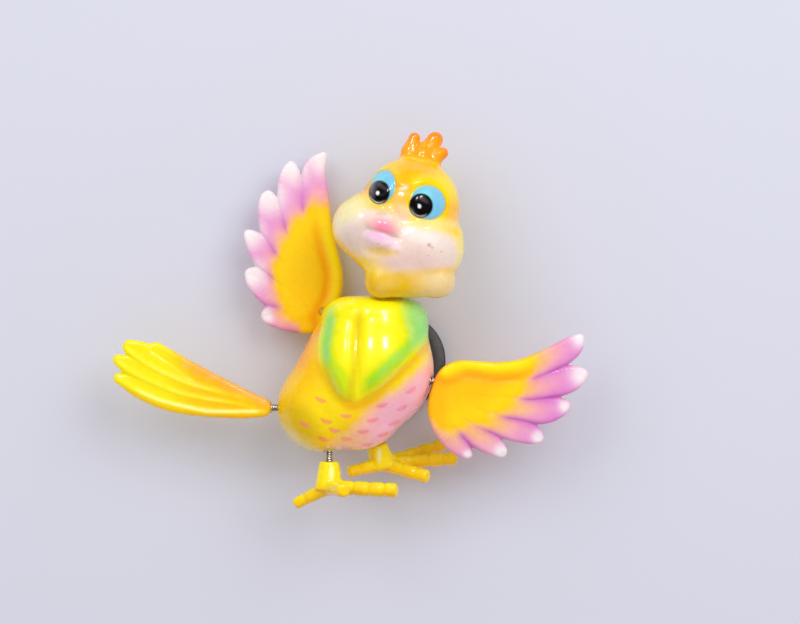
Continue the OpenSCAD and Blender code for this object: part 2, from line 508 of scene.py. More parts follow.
def glue_ring(limb, side):
    """Glue round the buried end of a spring, risen a little up the wire and up the wall of the hole."""
    mouth, inward = mouth_of(limb, side)
    inner, outer = COIL_R + WIRE_R + 0.015, HOLE_R - 0.01
    profile = [(inner, HOLE_DEPTH - 0.1), (outer, HOLE_DEPTH - 0.1), (outer, 0.16), (outer - 0.05, 0.2),
               (0.5 * (inner + outer), 0.26), (inner + 0.04, 0.14), (inner, 0.08)]
    return lathe(profile, mouth, inward)


def make_glue(name, rings, body, node, material):
    points, faces = [], []
    for ring_points, ring_faces in rings:
        faces += [tuple(i + len(points) for i in f) for f in ring_faces]
        points += ring_points
    attach(new_object(name, points, faces), material, body, node)


def axial(p, origin, axis):
    """Distance along an axis from its origin, and distance out from it."""
    rel = [p[i] - origin[i] for i in range(3)]
    along = sum(rel[i] * axis[i] for i in range(3))
    return along, np.sqrt(np.maximum(sum(r**2 for r in rel) - along**2, 0))


def holes(p, d, limbs, side):
    """Drills the spring holes of the named limbs on one side. The drill starts above each mouth."""
    above = 2
    for limb in limbs:
        along, radial = axial(p, *mouth_of(limb, side))
        hole = np.maximum(radial - HOLE_R, np.maximum(along - HOLE_DEPTH, -above - along))
        d = cut(d, hole, 0.12)
    return d


# ---- Body ----

def hull_disc(p, a, b, steps=9):
    """Hull of two rounded discs, each (centre, flat radius, edge radius), flat faces up and down."""
    tries = []
    for i in range(steps):
        t = i / (steps - 1)
        c = [a[0][k] * (1 - t) + b[0][k] * t for k in range(3)]
        flat, edge = a[1] * (1 - t) + b[1] * t, a[2] * (1 - t) + b[2] * t
        radial = np.maximum(np.hypot(p[0] - c[0], p[1] - c[1]) - flat, 0)
        tries.append(np.sqrt(radial**2 + (p[2] - c[2]) ** 2) - edge)
    best = tries[0]
    for i in range(1, steps):
        best = np.minimum(best, tries[i])
    # the true minimum lies between two of the discs: a parabola through three of them finds it
    for i in range(1, steps - 1):
        bend = tries[i - 1] - 2 * tries[i] + tries[i + 1]
        slope = (tries[i + 1] - tries[i - 1]) / 2
        inner = (bend > 1e-6) & (np.abs(slope) < bend)
        fit = tries[i] - np.where(inner, slope**2 / np.where(inner, 2 * bend, 1), 0)
        best = np.minimum(best, fit)
    return best


BIB_LEFT = curve([(-14.6, 14), (-14.8, 8.3), (-15.5, 3.6), (-15.1, -0.3), (-13.6, -3.7), (-11.8, -6.7),
                  (-9.6, -8.6)])
BIB_RIGHT = curve([(-9.6, -8.6), (-8.4, -8.7), (-6, -7.5), (-2.5, -5.2), (1.1, -2), (4.3, 0.9), (6.9, 4),
                   (9.5, 7.5)])
GROOVE = curve([(-7.2, 13), (-7.6, 8), (-7.9, 3.6), (-8.2, 0), (-8.7, -4.5), (-9.1, -7.6)])
# the ends of the neck's lower edge, which hangs in front of the body's top
JAW_LEFT, JAW_RIGHT = (-3, -21.7, 16), (8.2, -21.4, 16.1)


def bib_field(p):
    """Signed distance on the front to the bib's edge: negative on the bib."""
    x, _, z = p
    outline = [*BIB_LEFT, *BIB_RIGHT[1:], (10, 20), (-14.6, 20), BIB_LEFT[0]]
    edge, _ = line_distance(p, outline)
    inside = np.zeros(edge.shape, bool)
    for a, b in pairwise(outline):
        left_of_it = x < a[0] + (z - a[1]) * (b[0] - a[0]) / (b[1] - a[1] or 1e-9)
        inside = inside ^ (((a[1] > z) != (b[1] > z)) & left_of_it)
    return np.where(inside, -edge, edge)


def body_shape(p):
    x, y, z = p
    low_left = ((-14.8, -13, -9), 0, 9.1)
    low = ((-8.2, -13, -7.4), 0, 10.6)
    mid = ((-4.7, -13, -1.5), 0, 12)
    top = ((-4.4, -13, 8.3), 6.3, 4.5)
    d = hull_disc(p, low_left, top)
    for a, b in ((mid, top), (low, mid), (low_left, mid)):
        d = join(d, hull_disc(p, a, b), 1.2)
    d = d + 0.3
    front = step(-14, -18, y)
    bib = bib_field(p)
    groove, _ = line_distance(p, GROOVE)
    # the bib stands proud with a rounded edge, and a groove parts its two full lobes
    on_bib = step(0.7, -1.2, bib)
    left_lobe = np.clip(1 - ((x + 11.2) / 5.6) ** 2 - ((z + 1.2) / 10.2) ** 2, 0, 1)
    right_lobe = np.clip(1 - ((x + 2) / 8.6) ** 2 - ((z + 0.2) / 9.6) ** 2, 0, 1)
    full = 1.45 * np.maximum(left_lobe, right_lobe) * step(0, -2.5, bib)
    part = 0.75 * hump(groove, 1.1) * step(12, 6, z)
    under = 0.07 * hump(bib, 0.7, 1.2)
    d = d - front * ((0.4 + full - part) * on_bib - under)
    # room for the neck to nod and for the right wing to drop
    d = cut(d, bar(p, JAW_LEFT, JAW_RIGHT, 3.75, 3.8), 0.4)
    d = cut(d, ellipsoid(p, (7.5, -15.2, -6.8), (2.1, 3.2, 2.35)), 0.3)
    # a flat for the magnet behind
    d = cut(d, BACK_Y - y, 0.5)
    return holes(p, d, SPRINGS, BODY_SIDE)


# Pink strokes on the belly: the middle of each
STROKES = [(-14.9, -7.3), (-13.8, -11.5), (-9.9, -10.4), (-2.8, -8.3), (2.9, -5.4), (1.1, -8.9),
           (-4.7, -11.3), (-6.6, -13.6), (-0.5, -12), (-2.7, -14.3), (-9.9, -15.1), (-14.5, -15.1),
           (-9.9, -17.1), (-5.8, -16.3), (-18.2, -12.1), (-12.2, -13.3)]


def body_paint(p, n):
    x, y, z = p
    wave = 0.5 * ripple(p, 5, 1)
    front = step(-9, -14, y)
    paint = Paint(len(x), (253, 200, 0))
    bib = bib_field(p)
    groove, _ = line_distance(p, GROOVE)
    left_edge, _ = line_distance(p, BIB_LEFT)
    right_edge, _ = line_distance(p, BIB_RIGHT)
    # orange at the left shoulder, clear yellow in the middle, then low on the left olive, which is partly
    # paint and partly painted shade, and cream
    paint.spray((252, 166, 40), 0.8 * step(1.5, 4.5, -0.9 * x + 0.3 * z - 12.8 + wave) * step(-4, 1, z))
    dabs(paint, p, [
        ((255, 224, 0), 0.9, (-13.2, -9.4), (5.2, 5.4), 0, 0.6),
        ((255, 230, 36), 0.9, (2.6, -1.6), (7, 2.8), -40, 0.6)], front)
    # partly paint and partly painted shade: olive low on the left
    paint.spray((220, 184, 0), 0.8 * blot(p, (-19.4, -12.2), (3.4, 4.8), -35, 0.6))
    low_left = 0.62 * (-x - 17.3) + 0.79 * (-z - 13.2)
    paint.spray((226, 208, 140), 0.8 * step(1, 3.4, low_left + 0.6 * wave) * step(-4, -9, z))
    # the belly, low on the right: pink, and more salmon to the left
    low_right = 0.613 * (x - 6.5) - 0.79 * (z - 0.3) + 0.7 * wave
    belly = step(-1.4, 2.8, low_right) * step(-19, -13, x)
    paint.spray((252, 200, 156), 0.9 * belly)
    paint.spray((255, 188, 206), 0.95 * belly * step(-11, -2, x))
    paint.spray((255, 190, 160), 0.7 * step(5.6, 7.2, x + 0.2 * wave) * step(7, 3, z))
    # the bib: yellow, with green along both edges and painted shade along its groove
    on_bib = step(0.12, -0.12, bib) * front
    paint.spray((255, 242, 8), on_bib)
    left_band = hump(left_edge, 1.3, 1.7) * step(-4.5, 1, z) * step(13, 8, z)
    paint.spray((124, 218, 112), 0.85 * on_bib * left_band)
    paint.spray((196, 228, 60), 0.8 * on_bib * blot(p, (-11.2, -3.2), (1.9, 3.6), -28, 0.6))
    right_band = hump(right_edge, 1.5, 2.9) * step(-7.8, -4.8, x)
    paint.spray((146, 218, 92), 0.85 * on_bib * right_band)
    paint.spray((150, 226, 130), 0.85 * on_bib * blot(p, (5, 9.4), (3.6, 6), -16, 0.6))
    # painted shade: a darker line along the groove between the lobes
    paint.spray((230, 196, 0), 0.6 * on_bib * hump(groove, 0.8) * step(12, 8, z))
    # painted shade on the inner slope of its rounded edge: ochre on the left, orange on the right
    rim = 0.7 * front * hump(-bib, 0.8, 0.5) * step(3, 0.8, left_edge)
    paint.spray((228, 176, 0), rim * step(3, -3, z))
    paint.spray((250, 176, 24), 0.7 * front * hump(-bib, 0.7, 0.3) * step(2, 0.8, right_edge))
    for cx, cz in STROKES:
        lean = math.degrees(0.05 * (cx + 8))
        u, v = turned(x - cx, z - cz, -lean)
        sag = v - 0.16 * u**2 + 0.12
        width = 0.46 * np.sqrt(np.clip(1 - (u / 1.2) ** 2, 0, 1)) + 1e-3
        paint.spray((250, 132, 152), 0.6 * front * step(1.6, 0.2, np.abs(sag) / width) * (np.abs(u) < 1.2))
    return paint


# ---- Head ----

def head_base(p):
    """Cranium, cheeks, chin, and the neck that hangs down in front of the body."""
    d = ball(p, (2.8, -15, 31), 9.85)
    d = join(d, ellipsoid(p, (-5.8, -18.4, 27), (6.6, 6.6, 6.2), 20), 2.4)
    d = join(d, ellipsoid(p, (5.5, -18.2, 22.9), (7.8, 7.2, 6.9), 10), 2.4)
    d = join(d, ellipsoid(p, (0.4, -19.4, 21.8), (6.9, 6.5, 6), 20), 2)
    root = (-0.6, -14.7, 19.5)
    neck = bar(p, JAW_LEFT, JAW_RIGHT, 3.15, 3.2)
    jaw = (-2.9, -20.4, 19)
    neck = join(neck, bar(p, JAW_LEFT, jaw, 3.15, 3.15), 0.5)
    neck = join(neck, bar(p, jaw, (-5.5, -18.3, 26.3), 3.15, 6.5), 0.8)
    neck = join(neck, bar(p, JAW_RIGHT, (5.6, -18, 22.9), 3.2, 7.6), 0.8)
    neck = join(neck, bar(p, (2.4, -21.2, 16.6), root, 3.1, 4.8), 1.2)
    return join(d, neck, 2.2)


# Eyes on the front: the pupil's middle and radii, then the lid's, and the lid's lean
EYES = [((-3.4, 33.55), (2.1, 2.4), (-2.7, 34.8), (2.4, 3.35), 8),
        ((4.8, 30.85), (2.35, 2.4), (6.2, 31.5), (3.4, 3.3), 25)]
MOUTH = curve([(-6.6, 27.1), (-4.9, 26.1), (-2.5, 25.4), (-0.7, 24.8), (1.3, 23.9)])


def comb_shape(p):
    """Four fat lobes that run together like a hand."""
    lobes = [([(3.7, -15, 39.4), (2.8, -15, 42), (3.6, -15, 44.7)], [2.2, 1.85, 1.15]),
             ([(5.4, -14.9, 40), (6.5, -14.7, 42.6), (7.7, -14.6, 44.4)], [2.2, 1.9, 1.62]),
             ([(6.2, -15, 39.8), (8.1, -15.2, 41.2), (9.2, -15.4, 41.7)], [2.1, 1.5, 1.15]),
             ([(4.8, -15.8, 39.6), (5.1, -16, 41.4), (5.3, -15.8, 42.8)], [2, 1.7, 1.2])]
    d = None
    for points, radii in lobes:
        d = join(d, chain(p, points, radii), 0.35)
    return d


def head_shape(p):
    d = head_base(p)
    front = step(-17, -20, p[1])
    # beak: a soft pointed dome that runs up between the eyes, over a pouting lip
    upper = ellipsoid(p, (-2.7, -23.7, 26.8), (4, 3.2, 2.3), 22)
    upper = join(upper, ball(p, (-2.8, -25.3, 26.5), 1.6), 1.8)
    upper = join(upper, bar(p, (-2.6, -24.6, 27.3), (-1, -23, 30), 1.5, 0.9), 1.6)
    d = join(d, ellipsoid(p, (-2.9, -24, 24.1), (3.7, 2.4, 1.65), 20), 0.5)
    d = join(d, upper, 0.9)
    # eye sockets are shallow dishes with domed eyes in them
    for pupil, pupil_r, lid, lid_r, lean in EYES:
        reach = oval(p, lid, lid_r, lean)
        d = d + front * 0.3 * hump(reach, 0.12, 1.05)
        d = d - front * 0.35 * step(1, 0.55, reach)
        d = d - front * 0.34 * np.sqrt(np.clip(1.06 - oval(p, pupil, pupil_r) ** 2, 0, 1))
    # frowning brow fold above the beak, and the bridge between the eyes
    fold, _ = line_distance(p, curve([(-0.6, 37.6), (0.6, 35.6), (1.7, 34.9), (3.2, 35.3), (6.6, 36.4)]))
    d = d - front * 0.38 * hump(fold, 0.85)
    under_fold, _ = line_distance(p, [(0.4, 34), (2.2, 33.7)])
    d = d + front * 0.12 * hump(under_fold, 0.9)
    # creases under the eyes, where the cheeks begin
    for line in ([(-9.8, 32.4), (-6.4, 31.6), (-3.8, 30.6), (-2.6, 29.8)],
                 [(1.4, 28.2), (4, 27.8), (8, 27.4), (12.5, 27.6)]):
        crease, _ = line_distance(p, curve(line))
        d = d + front * 0.22 * hump(crease, 0.9)
    mouth, place = line_distance(p, MOUTH)
    d = d + front * 0.32 * hump(mouth, 0.4) * step(0, 0.2, place) * step(1, 0.8, place)
    chin, _ = line_distance(p, curve([(-5.6, 22.3), (-3.4, 21.6), (-0.4, 21.7)]))
    d = d + front * 0.3 * hump(chin, 0.8)
    d = join(d, comb_shape(p), 1.7)
    return holes(p, d, ["neck"], LIMB_SIDE)


def head_paint(p, n):
    x, y, z = p
    wave = ripple(p, 5, 2)
    front = step(-12, -16, y)
    paint = Paint(len(x), (255, 221, 0))
    # orange airbrush under the comb, at the temples and round the eyes
    dabs(paint, p, [
        ((255, 178, 40), 0.85, (4, 38.5), (4.6, 1.9), 4, 0.7),
        ((255, 184, 44), 0.8, (1.4, 36), (1.6, 2.2), 0, 0.7),
        ((255, 170, 40), 0.85, (-6.2, 34.2), (1.3, 2.2), 10, 0.7),
        ((255, 180, 30), 0.85, (11.4, 29), (2.2, 3), 0, 0.7)])
    # creamy white muzzle and cheeks, lemon along their tops, with a painted highlight on the right cheek and
    # painted shade low on both cheeks
    muzzle = blot(p, (-6.4, 26), (6.4, 4.8), 20, 0.35)
    muzzle = np.maximum(muzzle, blot(p, (4.6, 22), (8.8, 5), 8, 0.25))
    muzzle = np.maximum(muzzle, blot(p, (-1.6, 26.8), (3.6, 3.6), 30, 0.4))
    paint.spray((238, 224, 214), 0.97 * muzzle * front)
    dabs(paint, p, [
        ((244, 234, 176), 0.85, (-9, 30.2), (4.4, 2), -35, 0.7),
        ((255, 232, 160), 0.75, (6.6, 27.2), (6.4, 1.3), 0, 0.8),
        # painted highlight: a pale streak across the right cheek
        ((250, 242, 234), 0.7, (4.6, 24.7), (3.6, 1.3), 24, 0.7),
        # painted shade low on the right cheek and low on the left cheek
        ((228, 196, 186), 0.8, (2.6, 19.8), (7.6, 3.6), 5, 0.8),
        ((220, 196, 184), 0.7, (-8, 24.4), (4.6, 2.6), -45, 0.8),
        # orange and peach between the eyes and above the beak
        ((255, 196, 96), 0.95, (0.9, 32.7), (1.7, 3.2), 14, 0.5),
        ((252, 222, 196), 0.85, (1, 29.2), (1.9, 1.7), 20, 0.7),
        ((255, 208, 112), 0.75, (-2.4, 30.4), (3.4, 0.9), 12, 0.7),
        # painted highlight on the brow fold
        ((255, 246, 220), 0.8, (1.4, 34.3), (0.9, 0.35), -12, 0.6)], front)
    # gold rim under the left cheek and chin, running into painted shade on the neck below the chin: ochre,
    # paler on the right
    under = step(-0.5, 1.9, -0.7 * x - 0.7 * z + 9.6 + 0.4 * wave)
    paint.spray((240, 186, 40), 0.92 * under * step(27, 23, z))
    # painted shade: ochre on the neck below the chin, paler to the right
    paint.spray((232, 190, 80), 0.92 * step(18.8, 16.6, z - 0.10 * x + 0.3 * wave))
    paint.spray((238, 214, 172), 0.7 * step(18.8, 16.6, z) * step(1, 8, x))
    paint.spray((250, 228, 130), 0.85 * step(11.2, 13, x + 0.2 * wave) * step(28, 25, z))
    # beak: pink dome that fades upward, and a lilac lip with a painted ochre shadow under it
    dome = blot(p, (-2.7, 26.7), (4, 2.4), 24, 0.5) * front
    above = step(-0.2, 0.3, z - np.interp(x, [q[0] for q in MOUTH], [q[1] for q in MOUTH]))
    paint.spray((250, 214, 200), 0.8 * dome * above)
    paint.spray((255, 150, 176), 0.95 * blot(p, (-2.5, 26.4), (2.2, 1.5), 30, 0.7) * front * above)
    lip = blot(p, (-2.8, 24), (3.9, 1.5), 20, 0.25) * front * (1 - above)
    paint.spray((250, 222, 226), 0.95 * lip)
    paint.spray((248, 200, 232), 0.75 * lip * blot(p, (-4, 24.9), (2.4, 1), 25, 0.8))
    # painted shadow under the lip
    paint.spray((232, 192, 100), 0.75 * blot(p, (-2.9, 21.8), (3, 0.9), 8, 0.6) * front)
    # comb
    on_comb = step(1.3, -0.1, comb_shape(p) + 0.3 * (z < 39))
    paint.spray((255, 168, 28), on_comb)
    paint.spray((252, 128, 46), 0.7 * on_comb * step(42.8, 46, z + 0.3 * wave))
    paint.spray((252, 130, 44), 0.6 * on_comb * step(8.4, 10, x))
    # eyes: blue lid with a dark edge, and a glossy black pupil with painted reflections and a catchlight
    for pupil, pupil_r, lid, lid_r, lean in EYES:
        rim = (lid_r[0] + 0.2, lid_r[1] + 0.2)
        dabs(paint, p, [
            ((140, 160, 110), 0.55, lid, rim, lean, 0.05),
            ((134, 200, 228), 1, lid, lid_r, lean, 0.05),
            ((140, 226, 232), 0.6, (lid[0] - 0.7, lid[1] + 1.2), (1.5, 1.5), lean, 0.7),
            ((14, 12, 14), 1, pupil, pupil_r, 0, 0.05)], front)
        # painted reflection: a pale arc inside the pupil's lower edge, along the rim of its glossy dome
        below = -0.35 * (x - pupil[0]) / pupil_r[0] - 0.94 * (z - pupil[1]) / pupil_r[1]
        rim_reflection = hump(oval(p, pupil, pupil_r), 0.045, 0.86) * step(0.35, 0.8, below)
        paint.spray((214, 214, 214), 0.8 * front * rim_reflection)
        # painted reflection of the lamps in the top of the pupil, then the white catchlight
        dabs(paint, p, [
            ((92, 80, 78), 0.5, (pupil[0] + 0.5, pupil[1] + 1.2), (1.1, 0.4), 35, 0.6),
            ((252, 250, 250), 1, (pupil[0] - 0.3, pupil[1] - 0.15), (0.33, 0.4), 0, 0.3)], front)
    # scuffs on the right cheek and a nick on the lip
    scuffs = [(6.4, 23.1, 0.36), (7, 22.6, 0.22), (8.8, 21.8, 0.16), (6.2, 21.1, 0.16), (-3.6, 23.3, 0.16)]
    dabs(paint, p, [((170, 112, 104), 0.55, (cx, cz), (r, r), 0, 0.6) for cx, cz, r in scuffs], front)
    return paint


# ---- Wings and tail ----
# A feather is a run of (x, z, half width) points from the root to its tip. The first is common to the fan.

def feather(p, points):
    """Distance on the front from a feather's outline, negative inside, and the place along it from 0 to 1."""
    line = curve(points, 4)
    best, where = np.inf, 0.0
    for i, (a, b) in enumerate(pairwise(line)):
        d, t = off_line(p, a, b)
        d = d - (a[2] + (b[2] - a[2]) * t)
        where = np.where(d < best, (i + t) / (len(line) - 1), where)
        best = np.minimum(d, best)
    return best, where


def fan(p, root, feathers):
    """Outline of a fan of feathers, the place along them, and the distance from the valley between two."""
    each = [feather(p, [root, *points]) for points in feathers]
    d = np.stack([one for one, _ in each])
    first, second = np.partition(d, 1, axis=0)[:2]
    weight = np.exp(-(d - first) / 0.6)
    where = (weight * np.stack([place for _, place in each])).sum(0) / weight.sum(0)
    return join(first, second, 0.35), where, second - first


def plate(y, outline, plane, half):
    """A plate of the given half thickness round the surface y = plane, with rounded edges."""
    return -join(-outline, half - np.abs(y - plane), 1.1)


# Each wing: its plane as (y, slant, x), its fan, the ridge of its leading edge, how far the yellow reaches
# from the root at each angle in degrees, how quickly it turns to violet, how much sooner it does so in the
# valleys, its yellow paint and the orange of the painted shade under its ridge, the size of the white on each
# feather's tip, and a box round it
RIGHT_WING = {
    "limb": "right_wing", "plane": (-15.6, 0.07, 12), "root": (13, -5.5, 5.75),
    "feathers": [
        [(20, -3.3, 3.35), (25, -2.4, 2.95), (29, -0.6, 2.7), (32.4, 1.2, 2.5), (35.2, 3.1, 2.1),
         (36.7, 4.8, 0.9)],
        [(19.8, -4.5, 3.7), (26.7, -5, 3.1), (31.4, -4.2, 3), (34.6, -3.3, 2.7), (36.9, -2.6, 1.5)],
        [(17.5, -8, 3.4), (24.4, -9.4, 2.9), (29.2, -9.6, 2.8), (32, -9.1, 2.2), (33.6, -8.8, 1.35)],
        [(14, -9.8, 4), (19.8, -12.1, 2.8), (24.4, -13.4, 2.6), (27, -14.4, 2), (28.3, -15.1, 1.2)],
        [(11, -10.6, 4.4), (14.6, -13.4, 3), (18, -15.6, 2.5), (20.5, -17.5, 1.5), (21, -18, 1.1)],
        [(11.4, -8.4, 5.15), (10.6, -11.6, 3.9), (11.5, -14.7, 2.9), (13, -17, 1.9), (14.2, -18.3, 1.1)]],
    "ridge": curve([(9.8, -1.6), (14, -0.5), (19.8, -1.1), (24.4, -0.6), (28, 0.5), (31.2, 2.2)]),
    "angles": [-114, -83, -38, -8, 5, 21], "reach": [9.2, 7.4, 9, 11.4, 12.6, 15.8], "turn": 7.5,
    "valley": 1, "yellow": (255, 194, 0), "orange": (255, 164, 0),
    "white": [2.2, 2.6, 1.5, 1.6, 2, 1], "box": ((5, -19.4, -20.5), (39.6, -11, 8))}

LEFT_WING = {
    "limb": "left_wing", "plane": (-3.2, 0.17, -13), "root": (-18.2, 10.8, 5.1),
    "feathers": [
        [(-15.6, 16, 4.7), (-16.9, 26, 4), (-16.9, 33.5, 3.1), (-16.9, 38.2, 2.4), (-16.2, 40.2, 1.8),
         (-14.9, 41.9, 0.8)],
        [(-17.6, 18, 4.5), (-20.2, 27, 3.9), (-21.5, 34, 2.8), (-21.6, 37.8, 2.1), (-21.4, 39.8, 1)],
        [(-18.6, 15.5, 4.5), (-22.6, 22.8, 3.9), (-25.2, 28.8, 2.9), (-26, 32.3, 2), (-26.1, 33.8, 1)],
        [(-19.4, 13.2, 4.5), (-24, 18.8, 3.8), (-27.3, 22.7, 2.8), (-29.3, 25, 1.6), (-30.2, 26, 0.8)],
        [(-20, 11.8, 4.5), (-24.4, 14.4, 3.9), (-27.4, 16.3, 3), (-29.4, 17.6, 1.5)],
        [(-19.4, 10.2, 4.5), (-22.6, 9.7, 3.4), (-25.4, 9.4, 2.1), (-26.2, 9.2, 1.4)]],
    "ridge": curve([(-14.6, 8.8), (-12.4, 13), (-12, 18), (-13.6, 24.5), (-14.9, 30.5), (-15.2, 33)]),
    "angles": [87, 97, 107, 118, 133, 153, 225, 250, 275],
    "reach": [20.6, 17.6, 15.2, 12.4, 9.6, 6.2, 3.8, 4.4, 7.5], "turn": 4.4,
    "valley": 0.6, "yellow": (255, 207, 4), "orange": (252, 176, 0),
    "white": [5, 5, 4.8, 4.2, 3.8, 1.9], "box": ((-32, -9.4, 4.4), (-9.4, 1.6, 43.8))}


def wing_shape(p, wing):
    x, y, _ = p
    middle, slant, at = wing["plane"]
    plane = middle + slant * (x - at)
    outline, where, gap = fan(p, wing["root"], wing["feathers"])
    half = np.interp(where, [0, 0.35, 0.7, 1], [2.1, 1.9, 1.25, 0.8])
    half = half - (0.12 + 0.3 * step(0.35, 0.75, where)) * np.exp(-gap / 0.9) * step(-4, -2.2, outline)
    d = plate(y, outline, plane, half)
    front = step(0.3, -0.6, y - plane)
    line, place = line_distance(p, wing["ridge"])
    roll = 0.36 * hump(line, 1.1) - 0.26 * hump(line, 0.9, 2.1)
    d = d - front * roll * step(1, 0.7, place) * step(0, 0.2, place)
    return holes(p, d, [wing["limb"]], LIMB_SIDE)


def wing_paint(p, n, wing):
    x, _, z = p
    root = wing["root"]
    _, _, gap = fan(p, root, wing["feathers"])
    wave = ripple(p, 4, 3)
    groove = np.exp(-gap / 2.2)
    spread = wing["valley"] * groove
    line, place = line_distance(p, wing["ridge"])
    angle = np.degrees(np.arctan2(z - root[1], x - root[0]))
    if wing["angles"][-1] > 180:
        angle = np.where(angle < 0, angle + 360, angle)
    past = np.hypot(x - root[0], z - root[1]) - np.interp(angle, wing["angles"], wing["reach"]) + 0.4 * wave
    # distance to the nearest feather tip, as a share of the white on it
    tip = np.full(len(x), np.inf)
    for points, size in zip(wing["feathers"], wing["white"]):
        tip = np.minimum(tip, np.hypot(x - points[-1][0], z - points[-1][1]) / size)
    fade = step(0.95, 0.6, place)
    turn = wing["turn"]
    paint = Paint(len(x), wing["yellow"])
    paint.spray((255, 212, 6), 0.9 * step(-8, -2, past))
    paint.spray((250, 182, 0), 0.8 * step(-1.5, -4.5, x - root[0]) * (wing is RIGHT_WING))
    # painted shade: orange in the groove under the leading-edge ridge
    paint.spray(wing["orange"], 0.9 * hump(line, 1, 2.2) * fade)
    paint.spray((255, 230, 14), 0.95 * hump(line, 1.1) * fade)
    paint.spray((252, 200, 108), 0.8 * step(-2.2, 1.6, past + 1.2 * spread))
    paint.spray((240, 172, 186), 0.92 * step(0.0, 0.75 * turn, past + 2.2 * spread))
    paint.spray((222, 136, 202), 0.95 * step(0.5 * turn, 1.3 * turn, past + 3.5 * spread))
    paint.spray((198, 96, 184), 0.8 * groove**1.5 * step(-1, 2, past) * step(0.6, 1.3, tip))
    paint.spray((236, 190, 214), 0.75 * hump(tip, 1.3) * step(0.5, 3, past))
    paint.spray((242, 234, 234), 0.95 * np.exp(-((tip / 0.78) ** 2.6)) * step(1, 3, past))
    return paint


TAIL_ROOT = (-27, -9.1, 1.9)
TAIL_FEATHERS = [
    [(-33, -7.2, 2.8), (-40, -3.8, 3), (-48.2, 2.2, 1.8)],
    [(-33, -7.8, 2.8), (-43, -3.2, 3.2), (-50, 0.9, 2.8), (-53.4, 3, 1.5)],
    [(-33, -8.2, 2.9), (-44, -5, 3.2), (-51.5, -1.6, 2.7), (-55.7, 0.4, 1.2)],
    [(-33, -8.5, 2.8), (-43, -7.2, 3.2), (-50, -5.2, 2.8), (-55.6, -3.3, 1.15)]]
TAIL_RIDGES = [curve([(-26.8, -8.2), (-35.1, -6.2), (-42.3, -4), (-49.6, -0.6), (-54, 2.4)]),
               curve([(-28.5, -8.9), (-38.7, -7.2), (-44.8, -5.7), (-52, -2.6), (-55.5, -0.4)]),
               curve([(-27.8, -10), (-35.1, -9.9), (-42.3, -9), (-49.6, -6.8), (-55.2, -3.8)])]
TAIL_Y = -13


def tail_shape(p):
    y = p[1]
    outline, where, gap = fan(p, TAIL_ROOT, TAIL_FEATHERS)
    half = np.interp(where, [0, 0.4, 0.7, 1], [1.95, 1.75, 1.3, 0.9])
    half = half - 0.16 * np.exp(-gap / 0.6) * step(0.7, 0.9, where)
    d = plate(y, outline, TAIL_Y, half)
    front = step(0.3, -0.6, y - TAIL_Y)
    for ridge in TAIL_RIDGES:
        line, place = line_distance(p, ridge)
        d = d - front * step(0, 0.2, place) * 0.24 * hump(line, 0.6)
    return holes(p, d, ["tail"], LIMB_SIDE)


def tail_paint(p, n):
    x = p[0]
    wave = ripple(p, 5, 4)
    paint = Paint(len(x), (255, 208, 20))
    paint.spray((255, 236, 0), 0.95 * step(-32, -48, x + wave))
    for ridge in TAIL_RIDGES:
        line, _ = line_distance(p, ridge)
        # painted shade in the valleys beside each ridge
        paint.spray((255, 196, 10), 0.6 * hump(line, 0.7, 1.3) * step(-48, -36, x))
        # painted highlight along each ridge's crest
        paint.spray((255, 246, 110), 0.75 * hump(line, 0.38) * step(-56, -50, x))
    edge, _ = line_distance(p, [(-24.9, -7.2), (-36.3, -2.3), (-45.5, 2.2)])
    paint.spray((255, 184, 96), 0.95 * step(3.6, 0.8, edge + 0.3 * wave) * step(-48, -39, x))
    low, _ = line_distance(p, [(-27, -11.2), (-38, -11.4), (-48, -9), (-56.5, -5)])
    paint.spray((250, 176, 24), 0.5 * step(1.3, 0.3, low))
    # painted highlight along the rounded lower edge
    paint.spray((255, 255, 176), 0.7 * hump(low, 0.3, 1.5) * step(-55, -47, x) * step(-25, -29, x))
    return paint


# ---- Feet ----

def foot_shape(p, foot):
    """A cone-shaped ankle on a sole with jointed toes."""
    ankle, sole = np.array(foot["ankle"], float), np.array(foot["sole"], float)
    height = np.linalg.norm(sole - ankle)
    axis = (sole - ankle) / height
    along, radial = axial(p, ankle, axis)
    cone = 0.97 * (radial - (1.95 + 0.85 * along / height))
    d = cut(cone, along, 0.5)
    d = cut(d, height + 0.6 - along, 0.6)
    for end, reach, depth in foot["toes"]:
        end = np.array(end, float)
        length = np.linalg.norm(end - sole)
        t = sum((p[i] - sole[i]) * (end - sole)[i] for i in range(3)) / length
        # the toe is cast in segments with a nick between each two, and has a blunt end
        phase = np.mod((length + reach - t) / 3.2, 1)
        nick = depth * hump(np.minimum(phase, 1 - phase), 0.13)
        nick = nick * step(2, 3.2, t) * step(0, 1.5, length - t)
        toe = bar(p, sole, end, 1.4, reach) + nick - 0.06
        toe = cut(toe, length + 0.6 * reach - t, 0.6)
        d = join(d, toe, 0.4)
    return holes(p, d, [foot["limb"]], LIMB_SIDE)


